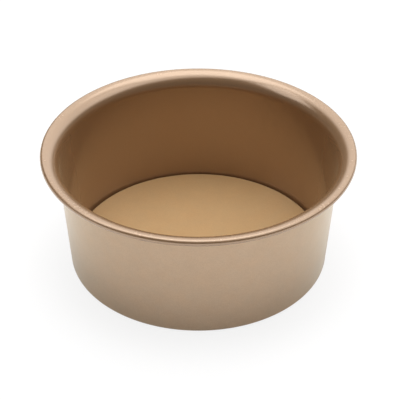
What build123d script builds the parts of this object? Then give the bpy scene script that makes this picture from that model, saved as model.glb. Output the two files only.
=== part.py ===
from build123d import *
import os
from math import cos, radians, sin

# Round cake tin with a lift-out base, in coated pressed steel.
# Millimetres and degrees. +Z points up, and the origin is on the table under the middle of the tin.

# Sizes of the whole tin
tin_height = 70.0
foot_diameter = 145.2
wall_draft_angle = 3.9

# Bends and edges of the wall, which is one sheet from the ledge to the bead
wall_sheet = 0.8
ledge_width = 5.0
foot_bend_inside = 0.8
flare_bend_radius = 8.6
lip_slope_angle = 2.0
bead_hollow_diameter = 1.9
bead_curl_angle = 260.0

# Loose base: a flat plate with a skirt all round that stands on the ledge
base_sheet = 0.8
base_skirt_straight = 1.7
base_bend_inside = 0.4
base_clearance = 0.2

right_angle = 90.0

# Where the flat of the ledge ends and the foot bend begins
foot_bend_outside = foot_bend_inside + wall_sheet
ledge_outer_radius = foot_diameter / 2 - foot_bend_outside * cos(radians(wall_draft_angle))
ledge_hole_radius = ledge_outer_radius - ledge_width

# The rolled bead, and how far the sheet turns to reach it
bead_radius = bead_hollow_diameter / 2 + wall_sheet
foot_turn = right_angle - wall_draft_angle
flare_turn = foot_turn - lip_slope_angle


def side_length():
    """Straight slant of the side, so that the top of the bead comes out at the tin's height."""
    draft = radians(wall_draft_angle)
    slope = radians(lip_slope_angle)
    foot_rise = wall_sheet + foot_bend_inside * (1 - sin(draft))
    flare_rise = (flare_bend_radius - bead_radius) * cos(slope) - flare_bend_radius * sin(draft)
    return (tin_height - foot_rise - flare_rise - bead_radius) / cos(draft)


def wall_face(height, foot_bend, flare_bend, bead_bend):
    """One face of the sheet, drawn from the ledge's hole, up the side and round the curl."""
    hole_edge = (ledge_hole_radius, height)
    bend_start = (ledge_outer_radius, height)
    ledge = Line(hole_edge, bend_start)
    foot = JernArc(ledge @ 1, ledge % 1, foot_bend, foot_turn)
    side = PolarLine(foot @ 1, side_length(), foot_turn)
    flare = JernArc(side @ 1, side % 1, flare_bend, -flare_turn)
    bead = JernArc(flare @ 1, flare % 1, bead_bend, -lip_slope_angle - bead_curl_angle)
    return ledge, bead


def tin_wall():
    """Ledge, tapered side, flared lip and rolled bead, in one sheet."""
    with BuildPart() as wall:
        with BuildSketch(Plane.XZ):
            with BuildLine():
                upper_ledge, outer_curl = wall_face(
                    wall_sheet, foot_bend_inside, flare_bend_radius, bead_radius
                )
                lower_ledge, inner_curl = wall_face(
                    0, foot_bend_outside, flare_bend_radius - wall_sheet, bead_radius - wall_sheet
                )
                Line(outer_curl @ 1, inner_curl @ 1)
                Line(upper_ledge @ 0, lower_ledge @ 0)
            make_face()
        revolve(axis=Axis.Z)
    return wall.part


def base_face(height, radius, bend):
    """One face of the base's sheet, drawn from the middle out, over the edge and down the skirt."""
    plate = Line((0, height), (radius - bend, height))
    edge = JernArc(plate @ 1, plate % 1, bend, -right_angle)
    skirt = PolarLine(edge @ 1, base_skirt_straight, -right_angle)
    return plate, skirt


def loose_base():
    """Flat plate with a turned-down skirt, standing on the ledge."""
    base_radius = ledge_outer_radius - base_clearance
    outer_bend = base_bend_inside + base_sheet
    top = wall_sheet + base_skirt_straight + outer_bend
    with BuildPart() as base:
        with BuildSketch(Plane.XZ):
            with BuildLine():
                upper_plate, outer_skirt = base_face(top, base_radius, outer_bend)
                lower_plate, inner_skirt = base_face(
                    top - base_sheet, base_radius - base_sheet, base_bend_inside
                )
                Line(outer_skirt @ 1, inner_skirt @ 1)
                Line(upper_plate @ 0, lower_plate @ 0)
            make_face()
        revolve(axis=Axis.Z)
    return base.part


os.makedirs("parts", exist_ok=True)
export_step(tin_wall(), "parts/tin_wall.step")
export_step(loose_base(), "parts/loose_base.step")
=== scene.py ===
"""A round cake tin with a lift-out base, in coated steel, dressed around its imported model.

Lengths are in metres, in the part's own frame: +Z points up, and the origin is on the table under the
middle of the tin. Angles are in degrees wherever a field or an argument holds one.
"""
from __future__ import annotations

import logging
from dataclasses import dataclass, field
from enum import Enum
from math import cos, radians, sin
from typing import Callable

import bpy
import numpy as np
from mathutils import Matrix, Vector


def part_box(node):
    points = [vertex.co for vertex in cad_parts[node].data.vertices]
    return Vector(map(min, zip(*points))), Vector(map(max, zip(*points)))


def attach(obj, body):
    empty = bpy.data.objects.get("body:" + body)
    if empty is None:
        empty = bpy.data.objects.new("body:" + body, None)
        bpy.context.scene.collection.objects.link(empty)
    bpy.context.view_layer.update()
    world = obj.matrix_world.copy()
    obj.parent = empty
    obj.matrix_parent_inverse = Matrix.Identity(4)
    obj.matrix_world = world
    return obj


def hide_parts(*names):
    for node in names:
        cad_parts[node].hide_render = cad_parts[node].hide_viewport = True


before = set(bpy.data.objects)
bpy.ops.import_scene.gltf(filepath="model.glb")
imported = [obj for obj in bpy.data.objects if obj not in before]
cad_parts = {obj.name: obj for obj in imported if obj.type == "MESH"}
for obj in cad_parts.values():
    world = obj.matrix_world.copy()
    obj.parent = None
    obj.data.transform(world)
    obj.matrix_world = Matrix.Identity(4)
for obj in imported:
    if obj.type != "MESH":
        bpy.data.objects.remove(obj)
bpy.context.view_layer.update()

log = logging.getLogger("cake_tin")

MM = 0.001
RIGHT_ANGLE = 90.0

# A straight run is drawn in three parts: a short strip, the rest of it and another short strip
RUN_PARTS = 3

# Places along each eased corner of a cut edge
CORNER_PLACES = 5

# Strength at which plain white renders as white
WHITE = 1.0

# What a socket is fed: a value of its own, or the output of another node
Feed = float | tuple[float, ...] | Vector | bpy.types.NodeSocket

# The inputs or outputs of a node, found by name or number
Sockets = bpy.types.bpy_prop_collection


class Node(Enum):
    """The part's nodes that the dressed pieces stand for."""

    TIN_WALL = "tin_wall"
    LOOSE_BASE = "loose_base"


class Body(Enum):
    """The bodies that the pieces ride on."""

    WALL = "wall"
    BASE = "base"


class Slot(Enum):
    """The record's material slots."""

    GOLD_COAT = "gold_coat"


class Mark(Enum):
    """The attributes that a mesh carries for its material."""

    # The mark of edge wear, which on the base's edge also paints a highlight
    WEAR_AND_HIGHLIGHT = "edge_wear_and_highlight"


@dataclass
class SheetLine:
    """The middle line of a bent sheet, drawn like a pen stroke in the plane of radius and height.

    A place in that plane is a complex number, radius plus i times height. A run is the last place plus
    distance times the heading. A bend is its centre plus its radius times the normal, turned evenly.

    Attributes:
        start: Where the line starts.
        sheet: Thickness of the sheet.
        heading: Direction of the pen, anticlockwise from outwards.
        hold: Length of the short strips that keep a straight run flat beside its bends.
        facet: Largest turn between two points of a bend.
        places: The places drawn so far, in one array for each run or bend.
        headings: The line's direction at each of those places.
    """

    start: complex
    sheet: float
    heading: float = 0.0
    hold: float = 0.4 * MM
    facet: float = 4.5
    places: list[np.ndarray] = field(default_factory=list)
    headings: list[np.ndarray] = field(default_factory=list)

    def __post_init__(self) -> None:
        """Sets the pen down at the start."""
        self.places.append(np.array([self.start]))
        self.headings.append(np.array([self.heading]))

    @property
    def pen(self) -> complex:
        """The place where the line ends so far."""
        return complex(self.places[-1][-1])

    def run(self, length: float) -> None:
        """Draws a straight run, with a short strip at each end.

        Args:
            length: Length of the run.
        """
        hold = min(self.hold, length / RUN_PARTS)
        stops = np.array([hold, length - hold, length])
        self.places.append(self.pen + stops * np.exp(1j * radians(self.heading)))
        self.headings.append(np.full(len(stops), self.heading))

    def bend(self, radius: float, turn: float) -> None:
        """Draws a bend, tangent to what came before.

        Args:
            radius: Radius of the sheet's middle line.
            turn: Angle turned, anticlockwise when positive.
        """
        count = int(np.ceil(abs(turn) / self.facet)) + 1
        turned = np.linspace(0, turn, count)[1:] + self.heading
        side = 1j * np.sign(turn) * radius
        centre = self.pen + side * np.exp(1j * radians(self.heading))
        self.places.append(centre - side * np.exp(1j * np.radians(turned)))
        self.headings.append(turned)
        self.heading += turn

    def face(self, side: float) -> np.ndarray:
        """One face of the sheet: the line plus half the sheet times its normal.

        Args:
            side: 1 for the face on the left of the line, -1 for the face on its right.

        Returns:
            The face's places, in the line's direction.
        """
        normals = 1j * np.exp(1j * np.radians(np.concatenate(self.headings)))
        return np.concatenate(self.places) + side * self.sheet / 2 * normals


def sheared_edge(middle: complex, outward: complex, sheet: float, rounding: float) -> np.ndarray:
    """The cut edge of a sheet, its two corners eased by a quarter circle each.

    A corner is its centre plus the rounding times a direction that turns from one face's normal to the
    outward direction. The second corner mirrors the first.

    Args:
        middle: Middle of the cut edge.
        outward: Unit direction out of the sheet. The edge is drawn from its left to its right.
        sheet: Thickness of the sheet.
        rounding: Radius of the corners.

    Returns:
        The places along the edge.
    """
    left = 1j * outward
    turn = np.radians(np.linspace(0, RIGHT_ANGLE, CORNER_PLACES))
    reach = sheet / 2 - rounding + rounding * np.cos(turn)
    depth = middle - rounding * outward + rounding * np.sin(turn) * outward
    return np.concatenate([depth + reach * left, (depth - reach * left)[::-1]])


@dataclass
class TurnedSurface:
    """A closed surface that the outline of a sheet sweeps round the Z axis.

    A point is the outline's radius times the cosine and sine of the turn, and the outline's height. The
    outline keeps the sheet on its right, so that the faces point outwards. Places are radius plus i
    times height.

    Attributes:
        upper: Places of the upper face, and of the cut edge after it.
        lower: Places of the lower face, and of any cut edge after it.
        wear_and_highlight: Gives the mark of wear and of painted highlight, from 0 to 1, of each place of
            an outline.
        turns: Steps round the axis.
        outline: The upper places, then the lower ones.
        marks: The mark of wear and painted highlight at each place.
        coats: Whether each place has the lower face's coat, the second of the two.
    """

    upper: np.ndarray
    lower: np.ndarray
    wear_and_highlight: Callable[[np.ndarray], np.ndarray]
    turns: int = 400
    outline: np.ndarray = field(init=False)
    marks: np.ndarray = field(init=False)
    coats: np.ndarray = field(init=False)

    def __post_init__(self) -> None:
        """Joins the two faces, marks the wear and the painted highlight, and tells the two coats apart."""
        self.outline = np.concatenate([self.upper, self.lower])
        self.marks = self.wear_and_highlight(self.outline)
        self.coats = np.arange(len(self.outline)) >= len(self.upper)

    def grid(self) -> np.ndarray:
        """The vertices: each place of the outline, carried round the axis.

        Returns:
            One row of points for each place of the outline, with three coordinates for each point.
        """
        angle = np.linspace(0, 2 * np.pi, self.turns, endpoint=False)
        radius = self.outline.real[:, None]
        height = np.repeat(self.outline.imag[:, None], self.turns, axis=1)
        return np.stack([radius * np.cos(angle), radius * np.sin(angle), height], axis=-1)

    def ring_faces(self, rows: int, closed: bool) -> np.ndarray:
        """The quads between neighbouring rows.

        Args:
            rows: Number of rows of vertices.
            closed: Whether the last row joins the first.

        Returns:
            Four vertex numbers for each quad.
        """
        row = np.arange(rows if closed else rows - 1)[:, None]
        step = np.arange(self.turns)[None]
        here, there = row * self.turns, (row + 1) % rows * self.turns
        after = (step + 1) % self.turns
        return np.stack([here + step, there + step, there + after, here + after], axis=-1).reshape(-1, 4)

    def ring(self) -> tuple[np.ndarray, list[list[int]], np.ndarray, np.ndarray]:
        """The surface of an outline that closes on itself.

        Returns:
            Vertices, faces, each vertex's mark of wear and painted highlight, and each face's coat.
        """
        vertices = self.grid().reshape(-1, 3)
        faces = self.ring_faces(len(self.outline), closed=True).tolist()
        return vertices, faces, np.repeat(self.marks, self.turns), np.repeat(self.coats, self.turns)

    def capped(self) -> tuple[np.ndarray, list[list[int]], np.ndarray, np.ndarray]:
        """The surface of an outline whose two ends lie on the axis, each closed by a fan about one pole.

        Returns:
            Vertices, faces, each vertex's mark of wear and painted highlight, and each face's coat.
        """
        poles = np.array([[0, 0, self.outline[0].imag], [0, 0, self.outline[-1].imag]])
        rows = len(self.outline) - 2
        vertices = np.concatenate([self.grid()[1:-1].reshape(-1, 3), poles])
        first, last = rows * self.turns, rows * self.turns + 1
        step = np.arange(self.turns)
        after = (step + 1) % self.turns
        low = (rows - 1) * self.turns
        top = np.stack([np.full(self.turns, first), step, after], axis=-1)
        bottom = np.stack([low + step, np.full(self.turns, last), low + after], axis=-1)
        faces = self.ring_faces(rows, closed=False).tolist() + top.tolist() + bottom.tolist()
        marks = np.concatenate([np.repeat(self.marks[1:-1], self.turns), self.marks[[0, -1]]])
        coats = np.repeat(np.concatenate([self.coats[1:-2], self.coats[[0, -1]]]), self.turns)
        return vertices, faces, marks, coats

    def make(self, name: str, closed: bool, coats: list[bpy.types.Material]) -> bpy.types.Object:
        """Puts the surface into a new object at the origin.

        Args:
            name: Name of the piece.
            closed: Whether the outline closes on itself, clear of the axis.
            coats: The coats of the upper and of the lower face.

        Returns:
            The new object.
        """
        vertices, faces, marks, numbers = self.ring() if closed else self.capped()
        mesh = bpy.data.meshes.new(name)
        mesh.from_pydata(vertices.tolist(), [], faces)
        for coat in coats:
            mesh.materials.append(coat)
        mesh.polygons.foreach_set("material_index", numbers.astype(np.int32))
        mesh.polygons.foreach_set("use_smooth", np.ones(len(mesh.polygons), bool))
        layer = mesh.attributes.new(Mark.WEAR_AND_HIGHLIGHT.value, "FLOAT", "POINT")
        layer.data.foreach_set("value", marks.astype(np.float32))
        mesh.update()
        piece = bpy.data.objects.new(name, mesh)
        bpy.context.scene.collection.objects.link(piece)
        return piece


class NodeBench:
    """Places and joins the nodes of one shader tree."""

    def __init__(self, tree: bpy.types.NodeTree) -> None:
        """Keeps the tree.

        Args:
            tree: The tree to work on.
        """
        self.tree = tree

    def add(
        self, kind: str, inputs: dict[str | int, Feed] | None = None, **settings: object
    ) -> bpy.types.Node:
        """Adds a node.

        Args:
            kind: The node's type, without its ShaderNode prefix.
            inputs: For each input, by name or number, a value or the output that feeds it.
            settings: Properties of the node.

        Returns:
            The new node.
        """
        node = self.tree.nodes.new("ShaderNode" + kind)
        for name, value in settings.items():
            setattr(node, name, value)
        for name, value in (inputs or {}).items():
            self.feed(node.inputs[name], value)
        return node

    def feed(self, socket: bpy.types.NodeSocket, value: Feed) -> None:
        """Links an output to a socket, or sets the socket's own value.

        Args:
            socket: The input to feed.
            value: The value, or the output that feeds it.
        """
        if isinstance(value, bpy.types.NodeSocket):
            self.tree.links.new(value, socket)
        else:
            socket.default_value = value

    def math(
        self, operation: str, first: Feed, second: Feed, third: Feed = 0.0
    ) -> bpy.types.NodeSocket:
        """The result of one sum on two or three values or outputs."""
        return self.add("Math", {0: first, 1: second, 2: third}, operation=operation).outputs[0]

    def place(self, group: bpy.types.NodeTree, inputs: dict[str, Feed]) -> Sockets:
        """The outputs of a group that is placed with its own values."""
        return self.add("Group", inputs, node_tree=group).outputs


class Effect:
    """A shader node group, built once and shared by the coats, that works from a place on a piece."""

    def __init__(self, name: str, given: list[str], results: list[str]) -> None:
        """Makes the empty group, whose first input is the vector Place. Its other sockets are numbers.

        Args:
            name: Name of the group.
            given: Names of the other inputs.
            results: Names of the outputs.
        """
        self.tree = bpy.data.node_groups.new(name, "ShaderNodeTree")
        sockets = [("Place", "INPUT", "NodeSocketVector")]
        sockets += [(label, "INPUT", "NodeSocketFloat") for label in given]
        sockets += [(label, "OUTPUT", "NodeSocketFloat") for label in results]
        for label, way, kind in sockets:
            self.tree.interface.new_socket(label, in_out=way, socket_type=kind)
        self.bench = NodeBench(self.tree)
        self.given = self.tree.nodes.new("NodeGroupInput").outputs
        self.result = self.tree.nodes.new("NodeGroupOutput").inputs

    def texture(self, kind: str, width: str, **inputs: float) -> Sockets:
        """Adds a texture at the place, at a scale of one over a width that the group is given.

        Args:
            kind: The texture's type, without its ShaderNodeTex prefix.
            width: Name of the input that holds the width.
            inputs: Values of the texture's other inputs, by name.

        Returns:
            The texture's outputs.
        """
        scale = self.bench.math("DIVIDE", 1.0, self.given[width])
        placed = {"Vector": self.given["Place"], "Scale": scale}
        return self.bench.add("Tex" + kind, {**placed, **inputs}).outputs

    def put_out(self, **values: bpy.types.NodeSocket) -> bpy.types.NodeTree:
        """Joins the results to the group's outputs.

        Args:
            values: The output that feeds each result, by name.

        Returns:
            The finished group.
        """
        for label, value in values.items():
            self.bench.feed(self.result[label], value)
        return self.tree


def opaque(colour: tuple[float, float, float]) -> tuple[float, float, float, float]:
    """A colour with full alpha, as a socket takes it."""
    return (*colour, 1.0)


def signed_share(
    bench: NodeBench, value: bpy.types.NodeSocket, gain: float
) -> bpy.types.NodeSocket:
    """Turns a share about one half into one about zero: the share less one half, times the gain."""
    return bench.math("MULTIPLY", bench.math("SUBTRACT", value, 0.5), gain)


def flake_grain() -> bpy.types.NodeTree:
    """Metal flakes in the coat: a random shade for each small cell, and the fine grain that they leave.

    Returns:
        The group. Shade runs from -1 to 1, and Height from 0 to 1.
    """
    effect = Effect("flake_grain", ["Flake"], ["Shade", "Height"])
    cells = effect.texture("Voronoi", "Flake")
    fuzz = effect.texture("Noise", "Flake", Detail=1.0)
    drawn = effect.bench.add("SeparateColor", {0: cells["Color"]}).outputs["Red"]
    return effect.put_out(Shade=signed_share(effect.bench, drawn, gain=2.0), Height=fuzz["Fac"])


def tone_drift() -> bpy.types.NodeTree:
    """Slow drift of the coat's tone and warmth, as the spray thins and thickens.

    Returns:
        The group. Tone and Warmth run from about -1 to 1.
    """
    effect = Effect("tone_drift", ["Patch"], ["Tone", "Warmth"])
    cloud = effect.texture("Noise", "Patch", Detail=3.0, Roughness=0.6)
    second = effect.bench.add("SeparateColor", {0: cloud["Color"]}).outputs["Blue"]
    tone = signed_share(effect.bench, cloud["Fac"], gain=3.0)
    return effect.put_out(Tone=tone, Warmth=signed_share(effect.bench, second, gain=3.0))


def orange_peel() -> bpy.types.NodeTree:
    """The gentle waves of a sprayed and baked coat.

    Returns:
        The group. Height runs from 0 to 1.
    """
    effect = Effect("orange_peel", ["Wave"], ["Height"])
    return effect.put_out(Height=effect.texture("Noise", "Wave", Detail=0.0)["Fac"])


def edge_wear_and_highlight() -> bpy.types.NodeTree:
    """Wear on the edges that hands, shelves and stacked tins rub, and on the base's edge a painted
    highlight, broken up by noise.

    Returns:
        The group. Mask is the mark of wear and painted highlight times a share that noise moves between 0
        and 1.
    """
    effect = Effect("edge_wear_and_highlight", ["Mark", "Patch"], ["Mask"])
    noise = effect.texture("Noise", "Patch", Detail=4.0)["Fac"]
    patchy = effect.bench.add("MapRange", {"Value": noise, "From Min": 0.4, "From Max": 0.65})
    mask = effect.bench.math("MULTIPLY", patchy.outputs["Result"], effect.given["Mark"])
    return effect.put_out(Mask=mask)


@dataclass(frozen=True)
class CoatEffects:
    """The groups that every coat shares."""

    flakes: bpy.types.NodeTree
    drift: bpy.types.NodeTree
    peel: bpy.types.NodeTree
    wear_and_highlight: bpy.types.NodeTree

    @classmethod
    def built(cls) -> CoatEffects:
        """Builds each group once."""
        return cls(flake_grain(), tone_drift(), orange_peel(), edge_wear_and_highlight())


@dataclass(frozen=True)
class GoldCoat:
    """A champagne gold non-stick coat on sheet steel: a brown body under a pale shine of mica flakes.

    Attributes:
        name: Name of the material.
        colour: Colour of the coat's body, as linear red, green and blue.
        worn_and_highlight_colour: Colour where edges are rubbed bright, and where the base's edge has a
            painted highlight.
        metallic: Share of flakes that reflect like metal in the body's colour.
        roughness: How far the flakes spread a reflection.
        index: Refractive index of the flakes, which sets how strong the shine is.
        shine: Colour of the shine where the coat is seen straight on.
        gloss: Share of the clear top layer.
        gloss_roughness: Roughness of that layer.
        sheen: Share of the fine mica's sheen, which shows at low angles.
        sheen_colour: Colour of that sheen.
        sheen_roughness: How far it spreads.
        flake: Width of a flake.
        flake_tone: Largest change of tone from flake to flake.
        flake_depth: Height of the grain that the flakes leave.
        patch: Width of the slow changes of tone.
        patch_tone: Change of tone between patches.
        patch_warmth: Change of warmth between patches.
        patch_roughness: Change of roughness between patches.
        wave: Width of the coat's waves.
        wave_depth: Height of those waves.
        wear_and_highlight_patch: Width of the broken patches of wear and painted highlight.
        wear_and_highlight_share: How much of that colour shows where the mark is full: wear, and on the
            base's edge mostly a painted highlight.
        wear_roughness: Roughness that full wear adds.
    """

    name: str
    colour: tuple[float, float, float] = (0.314, 0.172, 0.08)
    worn_and_highlight_colour: tuple[float, float, float] = (0.46, 0.31, 0.19)
    metallic: float = 0.35
    roughness: float = 0.25
    index: float = 2.4
    shine: tuple[float, float, float] = (1.0, 1.0, 0.92)
    gloss: float = 0.45
    gloss_roughness: float = 0.12
    sheen: float = 0.07
    sheen_colour: tuple[float, float, float] = (1.0, 0.8, 0.5)
    sheen_roughness: float = 0.4
    flake: float = 0.35 * MM
    flake_tone: float = 0.022
    flake_depth: float = 0.0005 * MM
    patch: float = 14 * MM
    patch_tone: float = 0.02
    patch_warmth: float = 0.02
    patch_roughness: float = 0.03
    wave: float = 2.5 * MM
    wave_depth: float = 0.0025 * MM
    wear_and_highlight_patch: float = 2.4 * MM
    wear_and_highlight_share: float = 0.1
    wear_roughness: float = 0.025

    def material(self, effects: CoatEffects) -> bpy.types.Material:
        """Builds the material.

        Args:
            effects: The groups that the coats share.

        Returns:
            The finished material.
        """
        material = bpy.data.materials.new(self.name)
        material.use_nodes = True
        bench = NodeBench(material.node_tree)
        shader = material.node_tree.nodes["Principled BSDF"]
        place = bench.add("TexCoord").outputs["Object"]
        mark = bench.add("Attribute", attribute_name=Mark.WEAR_AND_HIGHLIGHT.value).outputs["Fac"]
        flakes = bench.place(effects.flakes, {"Place": place, "Flake": self.flake})
        drift = bench.place(effects.drift, {"Place": place, "Patch": self.patch})
        peel = bench.place(effects.peel, {"Place": place, "Wave": self.wave})
        # Edge wear, and on the base's edge a painted highlight
        wear_and_highlight = bench.place(effects.wear_and_highlight, {"Place": place, "Mark": mark, "Patch": self.wear_and_highlight_patch})
        finish = {
            "Base Color": self.colour_output(bench, flakes, drift, wear_and_highlight),
            "Roughness": self.roughness_output(bench, drift, wear_and_highlight),
            "Normal": self.normal_output(bench, flakes, peel),
            "Metallic": self.metallic,
            "IOR": self.index,
            "Specular Tint": opaque(self.shine),
            "Coat Weight": self.gloss,
            "Coat Roughness": self.gloss_roughness,
            "Sheen Weight": self.sheen,
            "Sheen Tint": opaque(self.sheen_colour),
            "Sheen Roughness": self.sheen_roughness,
        }
        for name, value in finish.items():
            bench.feed(shader.inputs[name], value)
        return material

    def colour_output(
        self, bench: NodeBench, flakes: Sockets, drift: Sockets, wear_and_highlight: Sockets
    ) -> bpy.types.NodeSocket:
        """The coat's colour: the body's times its tone and warmth, then rubbed bright on the edges, with a
        painted highlight on the base's edge.

        Args:
            bench: The material's bench.
            flakes: Outputs of the flake grain.
            drift: Outputs of the tone drift.
            wear_and_highlight: Outputs of the edge wear and painted highlight.

        Returns:
            The output that holds the colour.
        """
        grain = bench.math("MULTIPLY_ADD", flakes["Shade"], self.flake_tone, 1.0)
        tone = bench.math("MULTIPLY_ADD", drift["Tone"], self.patch_tone, grain)
        warm = bench.math("MULTIPLY_ADD", drift["Warmth"], self.patch_warmth, 1.0)
        cool = bench.math("MULTIPLY_ADD", drift["Warmth"], -self.patch_warmth, 1.0)
        tint = bench.add("CombineXYZ", {"X": warm, "Y": 1.0, "Z": cool}).outputs[0]
        tinted = bench.add("VectorMath", {0: tint, 1: self.colour}, operation="MULTIPLY").outputs[0]
        toned = bench.add("VectorMath", {0: tinted, "Scale": tone}, operation="SCALE").outputs[0]
        # Mixes in the paler edge colour: real wear, and on the base's edge a painted highlight
        rub_and_highlight = bench.math("MULTIPLY", wear_and_highlight["Mask"], self.wear_and_highlight_share)
        blend = {"Factor": rub_and_highlight, "A": toned, "B": opaque(self.worn_and_highlight_colour)}
        return bench.add("Mix", blend, data_type="RGBA").outputs["Result"]

    def roughness_output(
        self, bench: NodeBench, drift: Sockets, wear_and_highlight: Sockets
    ) -> bpy.types.NodeSocket:
        """The roughness, which drifts from patch to patch and rises with wear."""
        patchy = bench.math("MULTIPLY_ADD", drift["Warmth"], self.patch_roughness, self.roughness)
        return bench.math("MULTIPLY_ADD", wear_and_highlight["Mask"], self.wear_roughness, patchy)

    def normal_output(
        self, bench: NodeBench, flakes: Sockets, peel: Sockets
    ) -> bpy.types.NodeSocket:
        """The normal, tilted by the heights of the coat's waves and of the flakes' grain, in metres.

        Args:
            bench: The material's bench.
            flakes: Outputs of the flake grain.
            peel: Outputs of the orange peel.

        Returns:
            The output that holds the normal.
        """
        waves = bench.math("MULTIPLY", peel["Height"], self.wave_depth)
        height = bench.math("MULTIPLY_ADD", flakes["Height"], self.flake_depth, waves)
        return bench.add("Bump", {"Strength": 1.0, "Distance": 1.0, "Height": height}).outputs["Normal"]


INSIDE_COAT = GoldCoat("inside_coat")
BASE_COAT = GoldCoat(
    "base_coat",
    colour=(0.42, 0.245, 0.095),
    metallic=0.08,
    roughness=0.8,
    index=2.0,
    flake_tone=0.05,
    patch=10 * MM,
    patch_tone=0.04,
    patch_warmth=0.03,
    # A strong share of the paler edge colour paints a highlight line on the base's rounded edge, as well
    # as wear
    wear_and_highlight_share=0.6,
)
OUTSIDE_COAT = GoldCoat(
    "outside_coat",
    colour=(0.427, 0.302, 0.199),
    metallic=0.975,
    roughness=0.308,
    gloss=0.533,
    gloss_roughness=0.279,
    flake_tone=0.05,
    flake_depth=0.0012 * MM,
    patch=7 * MM,
    patch_tone=0.035,
    patch_warmth=0.03,
    wave_depth=0.004 * MM,
)


@dataclass
class TinWall:
    """The drawn wall: a turned-in ledge, a tapered side, a flared lip and a rolled bead, in one sheet.

    The rim's radius and the height are read from the part. The line starts where the side's taper puts
    the ledge under them.

    Attributes:
        sheet: Thickness of the steel with its coat.
        draft: Taper of the side from the vertical.
        ledge_width: Flat width of the ledge inside the foot bend.
        foot_bend: Inside radius of the foot bend.
        flare_bend: Radius of the flare's upper face.
        lip_slope: Rise of the lip where the bead begins.
        bead: Outside radius of the rolled bead.
        curl: Angle of the curl from the bead's crown.
        edge_rounding: Radius of the sheet's eased corners.
        rub_and_highlight: Distance over which wear fades from the bead's crown and from the foot.
        foot_wear: Wear of the foot, as a share of the crown's.
        rim_radius: Radius of the rim outside the bead.
        height: Height of the bead's crown.
    """

    sheet: float = 0.8 * MM
    draft: float = 3.9
    ledge_width: float = 5.0 * MM
    foot_bend: float = 0.8 * MM
    flare_bend: float = 8.6 * MM
    lip_slope: float = 2.0
    bead: float = 1.75 * MM
    curl: float = 260.0
    edge_rounding: float = 0.2 * MM
    rub_and_highlight: float = 0.6 * MM
    foot_wear: float = 0.8
    rim_radius: float = field(init=False)
    height: float = field(init=False)

    def __post_init__(self) -> None:
        """Reads the rim's radius and the height from the part."""
        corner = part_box(Node.TIN_WALL.value)[1]
        self.rim_radius, self.height = corner.x, corner.z

    def side_length(self) -> float:
        """Slant of the side: what the foot, the flare and the bead leave of the height.

        Returns:
            The length of the straight slant.
        """
        draft, slope = radians(self.draft), radians(self.lip_slope)
        foot_rise = self.sheet + self.foot_bend * (1 - sin(draft))
        flare_rise = (self.flare_bend - self.bead) * cos(slope) - self.flare_bend * sin(draft)
        return (self.height - foot_rise - flare_rise - self.bead) / cos(draft)

    def ledge_outer_radius(self) -> float:
        """Where the ledge's flat ends: the rim's radius less the bead, the flare, the side and the bend.

        Returns:
            The radius at which the foot bend begins.
        """
        draft, slope = radians(self.draft), radians(self.lip_slope)
        flare_reach = self.flare_bend * cos(draft) - (self.flare_bend - self.bead) * sin(slope)
        side_reach = self.side_length() * sin(draft)
        return self.rim_radius - self.bead - flare_reach - side_reach - self.foot_bend * cos(draft)

    def line(self) -> SheetLine:
        """The wall's middle line, from the ledge's hole to the end of the curl.

        Returns:
            The line, short of each cut edge by the edge's rounding.
        """
        half = self.sheet / 2
        upright = RIGHT_ANGLE - self.draft
        flat = self.ledge_width - self.edge_rounding
        line = SheetLine(complex(self.ledge_outer_radius() - flat, half), self.sheet)
        line.run(flat)
        line.bend(self.foot_bend + half, upright)
        line.run(self.side_length())
        line.bend(self.flare_bend - half, self.lip_slope - upright)
        eased = float(np.degrees(self.edge_rounding / (self.bead - half)))
        line.bend(self.bead - half, eased - self.lip_slope - self.curl)
        return line

    def faces(self) -> tuple[np.ndarray, np.ndarray]:
        """The outline's two halves, which the cut edges join.

        Returns:
            The upper face with the curl's edge after it, and the lower face with the hole's edge.
        """
        line = self.line()
        onward = np.exp(1j * radians(line.heading))
        curl_end = line.pen + self.edge_rounding * onward
        hole_end = line.start - self.edge_rounding
        curl_edge = sheared_edge(curl_end, onward, self.sheet, self.edge_rounding)
        hole_edge = sheared_edge(hole_end, -1, self.sheet, self.edge_rounding)
        upper = np.concatenate([line.face(1), curl_edge[1:-1]])
        return upper, np.concatenate([line.face(-1)[::-1], hole_edge[1:-1]])

    def wear_and_highlight(self, outline: np.ndarray) -> np.ndarray:
        """Wear marks that fade with the distance below the bead's crown and above the foot's face.

        A mark is the exponential of minus the square of that distance over the rubbed distance.

        Args:
            outline: The places of the outline.

        Returns:
            A mark from 0 to 1 for each place.
        """
        crown = np.exp(-((self.height - outline.imag) / self.rub_and_highlight) ** 2)
        foot = self.foot_wear * np.exp(-(outline.imag / self.rub_and_highlight) ** 2)
        return crown + foot

    def build(self, coats: list[bpy.types.Material]) -> bpy.types.Object:
        """Makes the wall, coats it and puts it on its body.

        Args:
            coats: The coat of the upper face, which the bead rolls outwards, and that of the lower face.

        Returns:
            The finished wall.
        """
        wall = TurnedSurface(*self.faces(), self.wear_and_highlight).make("drawn_wall", closed=True, coats=coats)
        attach(wall, Body.WALL.value)
        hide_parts(Node.TIN_WALL.value)
        return wall


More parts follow.
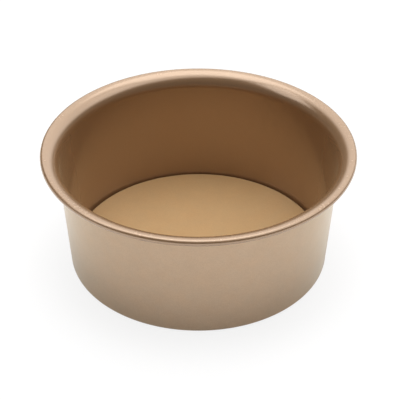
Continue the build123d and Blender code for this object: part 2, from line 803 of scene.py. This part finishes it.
@dataclass
class LooseBase:
    """The lift-out base: a flat plate whose edge turns down into a skirt that stands on the ledge.

    The radius and both heights are read from the part.

    Attributes:
        sheet: Thickness of the steel with its coat.
        edge_bend: Inside radius of the bend between plate and skirt.
        edge_rounding: Radius of the skirt's eased corners.
        rub_and_highlight: Distance over which wear and the painted highlight on the edge fade from the
            middle of the bend.
        radius: Radius of the base outside the skirt.
        bottom: Height of the skirt's foot.
        top: Height of the plate's upper face.
    """

    sheet: float = 0.8 * MM
    edge_bend: float = 0.4 * MM
    edge_rounding: float = 0.2 * MM
    rub_and_highlight: float = 0.7 * MM
    radius: float = field(init=False)
    bottom: float = field(init=False)
    top: float = field(init=False)

    def __post_init__(self) -> None:
        """Reads the base's radius and its two heights from the part."""
        low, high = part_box(Node.LOOSE_BASE.value)
        self.radius, self.bottom, self.top = high.x, low.z, high.z

    def line(self) -> SheetLine:
        """The base's middle line, from the axis to the foot of the skirt.

        Returns:
            The line, short of the skirt's cut edge by the edge's rounding.
        """
        half = self.sheet / 2
        bend = self.edge_bend + half
        line = SheetLine(complex(0, self.top - half), self.sheet)
        line.run(self.radius - half - bend)
        line.bend(bend, -RIGHT_ANGLE)
        line.run(self.top - half - bend - self.bottom - self.edge_rounding)
        return line

    def faces(self) -> tuple[np.ndarray, np.ndarray]:
        """The outline's two halves, from the axis to the skirt's foot and back.

        Returns:
            The upper face with the skirt's cut edge after it, and the lower face.
        """
        line = self.line()
        foot = line.pen - 1j * self.edge_rounding
        foot_edge = sheared_edge(foot, -1j, self.sheet, self.edge_rounding)
        return np.concatenate([line.face(1), foot_edge[1:-1]]), line.face(-1)[::-1]

    def wear_and_highlight(self, outline: np.ndarray) -> np.ndarray:
        """Wear marks, and a painted highlight along the edge, that fade with the distance from the middle
        of the bend.

        A mark is the exponential of minus the square of that distance over the rubbed distance.

        Args:
            outline: The places of the outline.

        Returns:
            A mark from 0 to 1 for each place.
        """
        middle = complex(self.radius - self.sheet / 2, self.top - self.sheet / 2)
        return np.exp(-(np.abs(outline - middle) / self.rub_and_highlight) ** 2)

    def build(self, coats: list[bpy.types.Material]) -> bpy.types.Object:
        """Makes the base, coats it and puts it on its body.

        Args:
            coats: The coat of the upper face, and that of the lower face.

        Returns:
            The finished base.
        """
        base = TurnedSurface(*self.faces(), self.wear_and_highlight).make("lift_out_base", closed=False, coats=coats)
        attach(base, Body.BASE.value)
        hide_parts(Node.LOOSE_BASE.value)
        return base


@dataclass
class Softbox:
    """A square soft light that faces the tin.

    Attributes:
        name: Name of the light.
        place: Where its middle is.
        width: Width of its face.
        power: Its power in watts.
        mirrored: Whether the tin's shine shows it, or only its matt light falls on the tin.
    """

    name: str
    place: tuple[float, float, float]
    width: float
    power: float
    mirrored: bool = True

    def build(self, target: tuple[float, float, float]) -> bpy.types.Object:
        """Makes the light and turns it towards a place.

        Args:
            target: The place that it faces.

        Returns:
            The light.
        """
        light = bpy.data.lights.new(self.name, "AREA")
        light.energy = self.power
        light.size = self.width
        lamp = bpy.data.objects.new(self.name, light)
        lamp.visible_glossy = self.mirrored
        bpy.context.scene.collection.objects.link(lamp)
        lamp.location = self.place
        lamp.rotation_euler = (Vector(target) - Vector(self.place)).to_track_quat("-Z", "Y").to_euler()
        return lamp


@dataclass
class Studio:
    """A pale floor, a large overhead light that leaves the camera's side dark, and soft lights.

    Attributes:
        floor_width: Width of the square floor.
        floor_behind: How far the floor's middle lies behind the tin.
        floor_gap: Distance of the floor below the tin's foot.
        floor_tone: Grey of the floor.
        floor_roughness: Roughness of the floor.
        floor_glow: Share of plain white that the camera sees on the floor.
        mirrored_glow: Share of plain white that reflections see on it.
        room_seen: Share of plain white that the camera sees in the room.
        room_glow: Share of plain white that reflections see in it.
        room_dark: Strength of the room on the camera's side.
        room_bright: Strength of the room where it is brightest.
        room_axis: Direction in which the room is brightest.
        fade_start: Where the room starts to brighten, as a direction's reach along that axis.
        fade_end: Where it is at its brightest.
        target: The place that the lights face.
        lights: The softboxes.
    """

    floor_width: float = 100.0
    floor_behind: float = 20.0
    floor_gap: float = 0.1 * MM
    floor_tone: float = 0.95
    floor_roughness: float = 0.7
    floor_glow: float = 0.82
    mirrored_glow: float = 0.265
    room_seen: float = 1.0
    room_glow: float = 0.09
    room_dark: float = 0.01
    room_bright: float = 1.65
    room_axis: tuple[float, float, float] = (0.245, 0.375, 0.927)
    fade_start: float = 0.51
    fade_end: float = 0.72
    target: tuple[float, float, float] = (0.0, 0.0, 0.03)
    lights: list[Softbox] = field(
        default_factory=lambda: [
            Softbox("overhead_softbox", (0.0, 0.523, 2.04), width=1.61, power=12.6),
            Softbox("left_softbox", (-1.0, -0.0266, 1.06), width=0.8, power=3.52),
            Softbox("right_softbox", (1.0, -0.0266, 1.06), width=0.8, power=0.6),
            Softbox("overhead_fill", (0.0, -0.0371, 1.5), width=0.5, power=4.4, mirrored=False),
        ]
    )

    def floor(self) -> bpy.types.Object:
        """Makes the floor, mostly white to the camera and partly to reflections, with the tin's shadow.

        Returns:
            The floor.
        """
        half = self.floor_width / 2
        near, far, level = self.floor_behind - half, self.floor_behind + half, -self.floor_gap
        corners = [(-half, near, level), (half, near, level), (half, far, level), (-half, far, level)]
        mesh = bpy.data.meshes.new("floor")
        mesh.from_pydata(corners, [], [(0, 1, 2, 3)])
        floor = bpy.data.objects.new("floor", mesh)
        bpy.context.scene.collection.objects.link(floor)
        mesh.materials.append(self.floor_material())
        return floor

    @staticmethod
    def white_share(
        bench: NodeBench, rays: Sockets, seen: float, mirrored: float
    ) -> bpy.types.NodeSocket:
        """The share of plain white: one share for the camera's rays plus another for reflections.

        Args:
            bench: The bench of the floor or the room.
            rays: Outputs of its Light Path node.
            seen: Share that the camera sees.
            mirrored: Share that reflections see.

        Returns:
            The output that holds the share.
        """
        reflections = bench.math("MAXIMUM", rays["Is Glossy Ray"], rays["Is Transmission Ray"])
        reflected = bench.math("MULTIPLY", reflections, mirrored)
        return bench.math("MULTIPLY_ADD", rays["Is Camera Ray"], seen, reflected)

    def floor_material(self) -> bpy.types.Material:
        """The floor's material: matt and pale, partly plain white, and clear to a camera below it.

        Returns:
            The material.
        """
        material = bpy.data.materials.new("pale_floor")
        material.use_nodes = True
        bench = NodeBench(material.node_tree)
        matt = material.node_tree.nodes["Principled BSDF"]
        matt.inputs["Base Color"].default_value = opaque((self.floor_tone,) * 3)
        matt.inputs["Roughness"].default_value = self.floor_roughness
        rays = bench.add("LightPath").outputs
        glow = self.white_share(bench, rays, self.floor_glow, self.mirrored_glow)
        white = bench.add("Emission", {"Color": opaque((WHITE,) * 3), "Strength": WHITE}).outputs[0]
        lit = bench.add("MixShader", {0: glow, 1: matt.outputs[0], 2: white}).outputs[0]
        underside = bench.add("NewGeometry").outputs["Backfacing"]
        below = bench.math("MULTIPLY", underside, rays["Is Camera Ray"])
        clear = bench.add("BsdfTransparent").outputs[0]
        surface = bench.add("MixShader", {0: below, 1: lit, 2: clear}).outputs[0]
        bench.feed(material.node_tree.nodes["Material Output"].inputs["Surface"], surface)
        return material

    def room(self) -> bpy.types.World:
        """Makes the room, white to the camera. Its strength rises with a direction's reach along an axis.

        Returns:
            The world.
        """
        world = bpy.data.worlds.new("room")
        world.use_nodes = True
        bench = NodeBench(world.node_tree)
        direction = bench.add("TexCoord").outputs["Generated"]
        axis = Vector(self.room_axis).normalized()
        reach = bench.add("VectorMath", {0: direction, 1: axis}, operation="DOT_PRODUCT")
        fade = {
            "Value": reach.outputs["Value"],
            "From Min": self.fade_start,
            "From Max": self.fade_end,
            "To Min": self.room_dark,
            "To Max": self.room_bright,
        }
        light = bench.add("MapRange", fade, interpolation_type="SMOOTHSTEP").outputs["Result"]
        rays = bench.add("LightPath").outputs
        shown = self.white_share(bench, rays, self.room_seen, self.room_glow)
        strength = bench.add("Mix", {"Factor": shown, "A": light, "B": WHITE}).outputs["Result"]
        background = world.node_tree.nodes["Background"]
        background.inputs["Color"].default_value = opaque((WHITE,) * 3)
        bench.feed(background.inputs["Strength"], strength)
        bpy.context.scene.world = world
        return world

    def build(self) -> None:
        """Makes the floor, the room and the lights."""
        self.floor()
        self.room()
        for softbox in self.lights:
            softbox.build(self.target)


@dataclass
class PhotoCamera:
    """The camera at the photograph's viewing angle.

    Attributes:
        image_width: Width of the image in pixels.
        focal_pixels: Focal length in pixels of that image.
        middle_pixel: Column of the image on which the tin's axis lies.
        elevation: Angle of the view below the horizon.
        distance: Distance from the place that it looks at.
        aim_height: Height of that place on the tin's axis.
        sensor: Width of the sensor in the camera's own millimetres.
        nearest: Distance at which the view begins.
    """

    image_width: float = 400.0
    focal_pixels: float = 1301.0
    middle_pixel: float = 198.46
    elevation: float = 35.5
    distance: float = 728.2 * MM
    aim_height: float = 34.0 * MM
    sensor: float = 36.0
    nearest: float = 10 * MM

    def build(self) -> bpy.types.Object:
        """Makes the camera and sets it as the scene's own.

        It stands off from its aim by the distance times the cosine and sine of the elevation, and aside by
        the pixels between the image's middle and the tin's axis, at the scale of that distance.

        Returns:
            The camera.
        """
        data = bpy.data.cameras.new("photo_camera")
        data.sensor_width = self.sensor
        data.lens = self.focal_pixels / self.image_width * self.sensor
        data.clip_start = self.nearest
        camera = bpy.data.objects.new("photo_camera", data)
        bpy.context.scene.collection.objects.link(camera)
        tilt = radians(self.elevation)
        aside = (self.image_width / 2 - self.middle_pixel) / self.focal_pixels * self.distance
        camera.location = (aside, -self.distance * cos(tilt), self.aim_height + self.distance * sin(tilt))
        camera.rotation_euler = (radians(RIGHT_ANGLE) - tilt, 0.0, 0.0)
        bpy.context.scene.camera = camera
        return camera


def main() -> None:
    """Builds the tin, its base, the studio and the camera in order, and reports each piece."""
    logging.basicConfig(level=logging.INFO)
    bpy.context.scene.view_settings.view_transform = "Standard"
    effects = CoatEffects.built()
    inside = INSIDE_COAT.material(effects)
    base_top = BASE_COAT.material(effects)
    outside = OUTSIDE_COAT.material(effects)
    for piece, coats in ((TinWall(), [inside, outside]), (LooseBase(), [base_top, outside])):
        made = piece.build(coats)
        log.info("%s: %d faces", made.name, len(made.data.polygons))
    Studio().build()
    PhotoCamera().build()


if __name__ == "__main__":
    main()
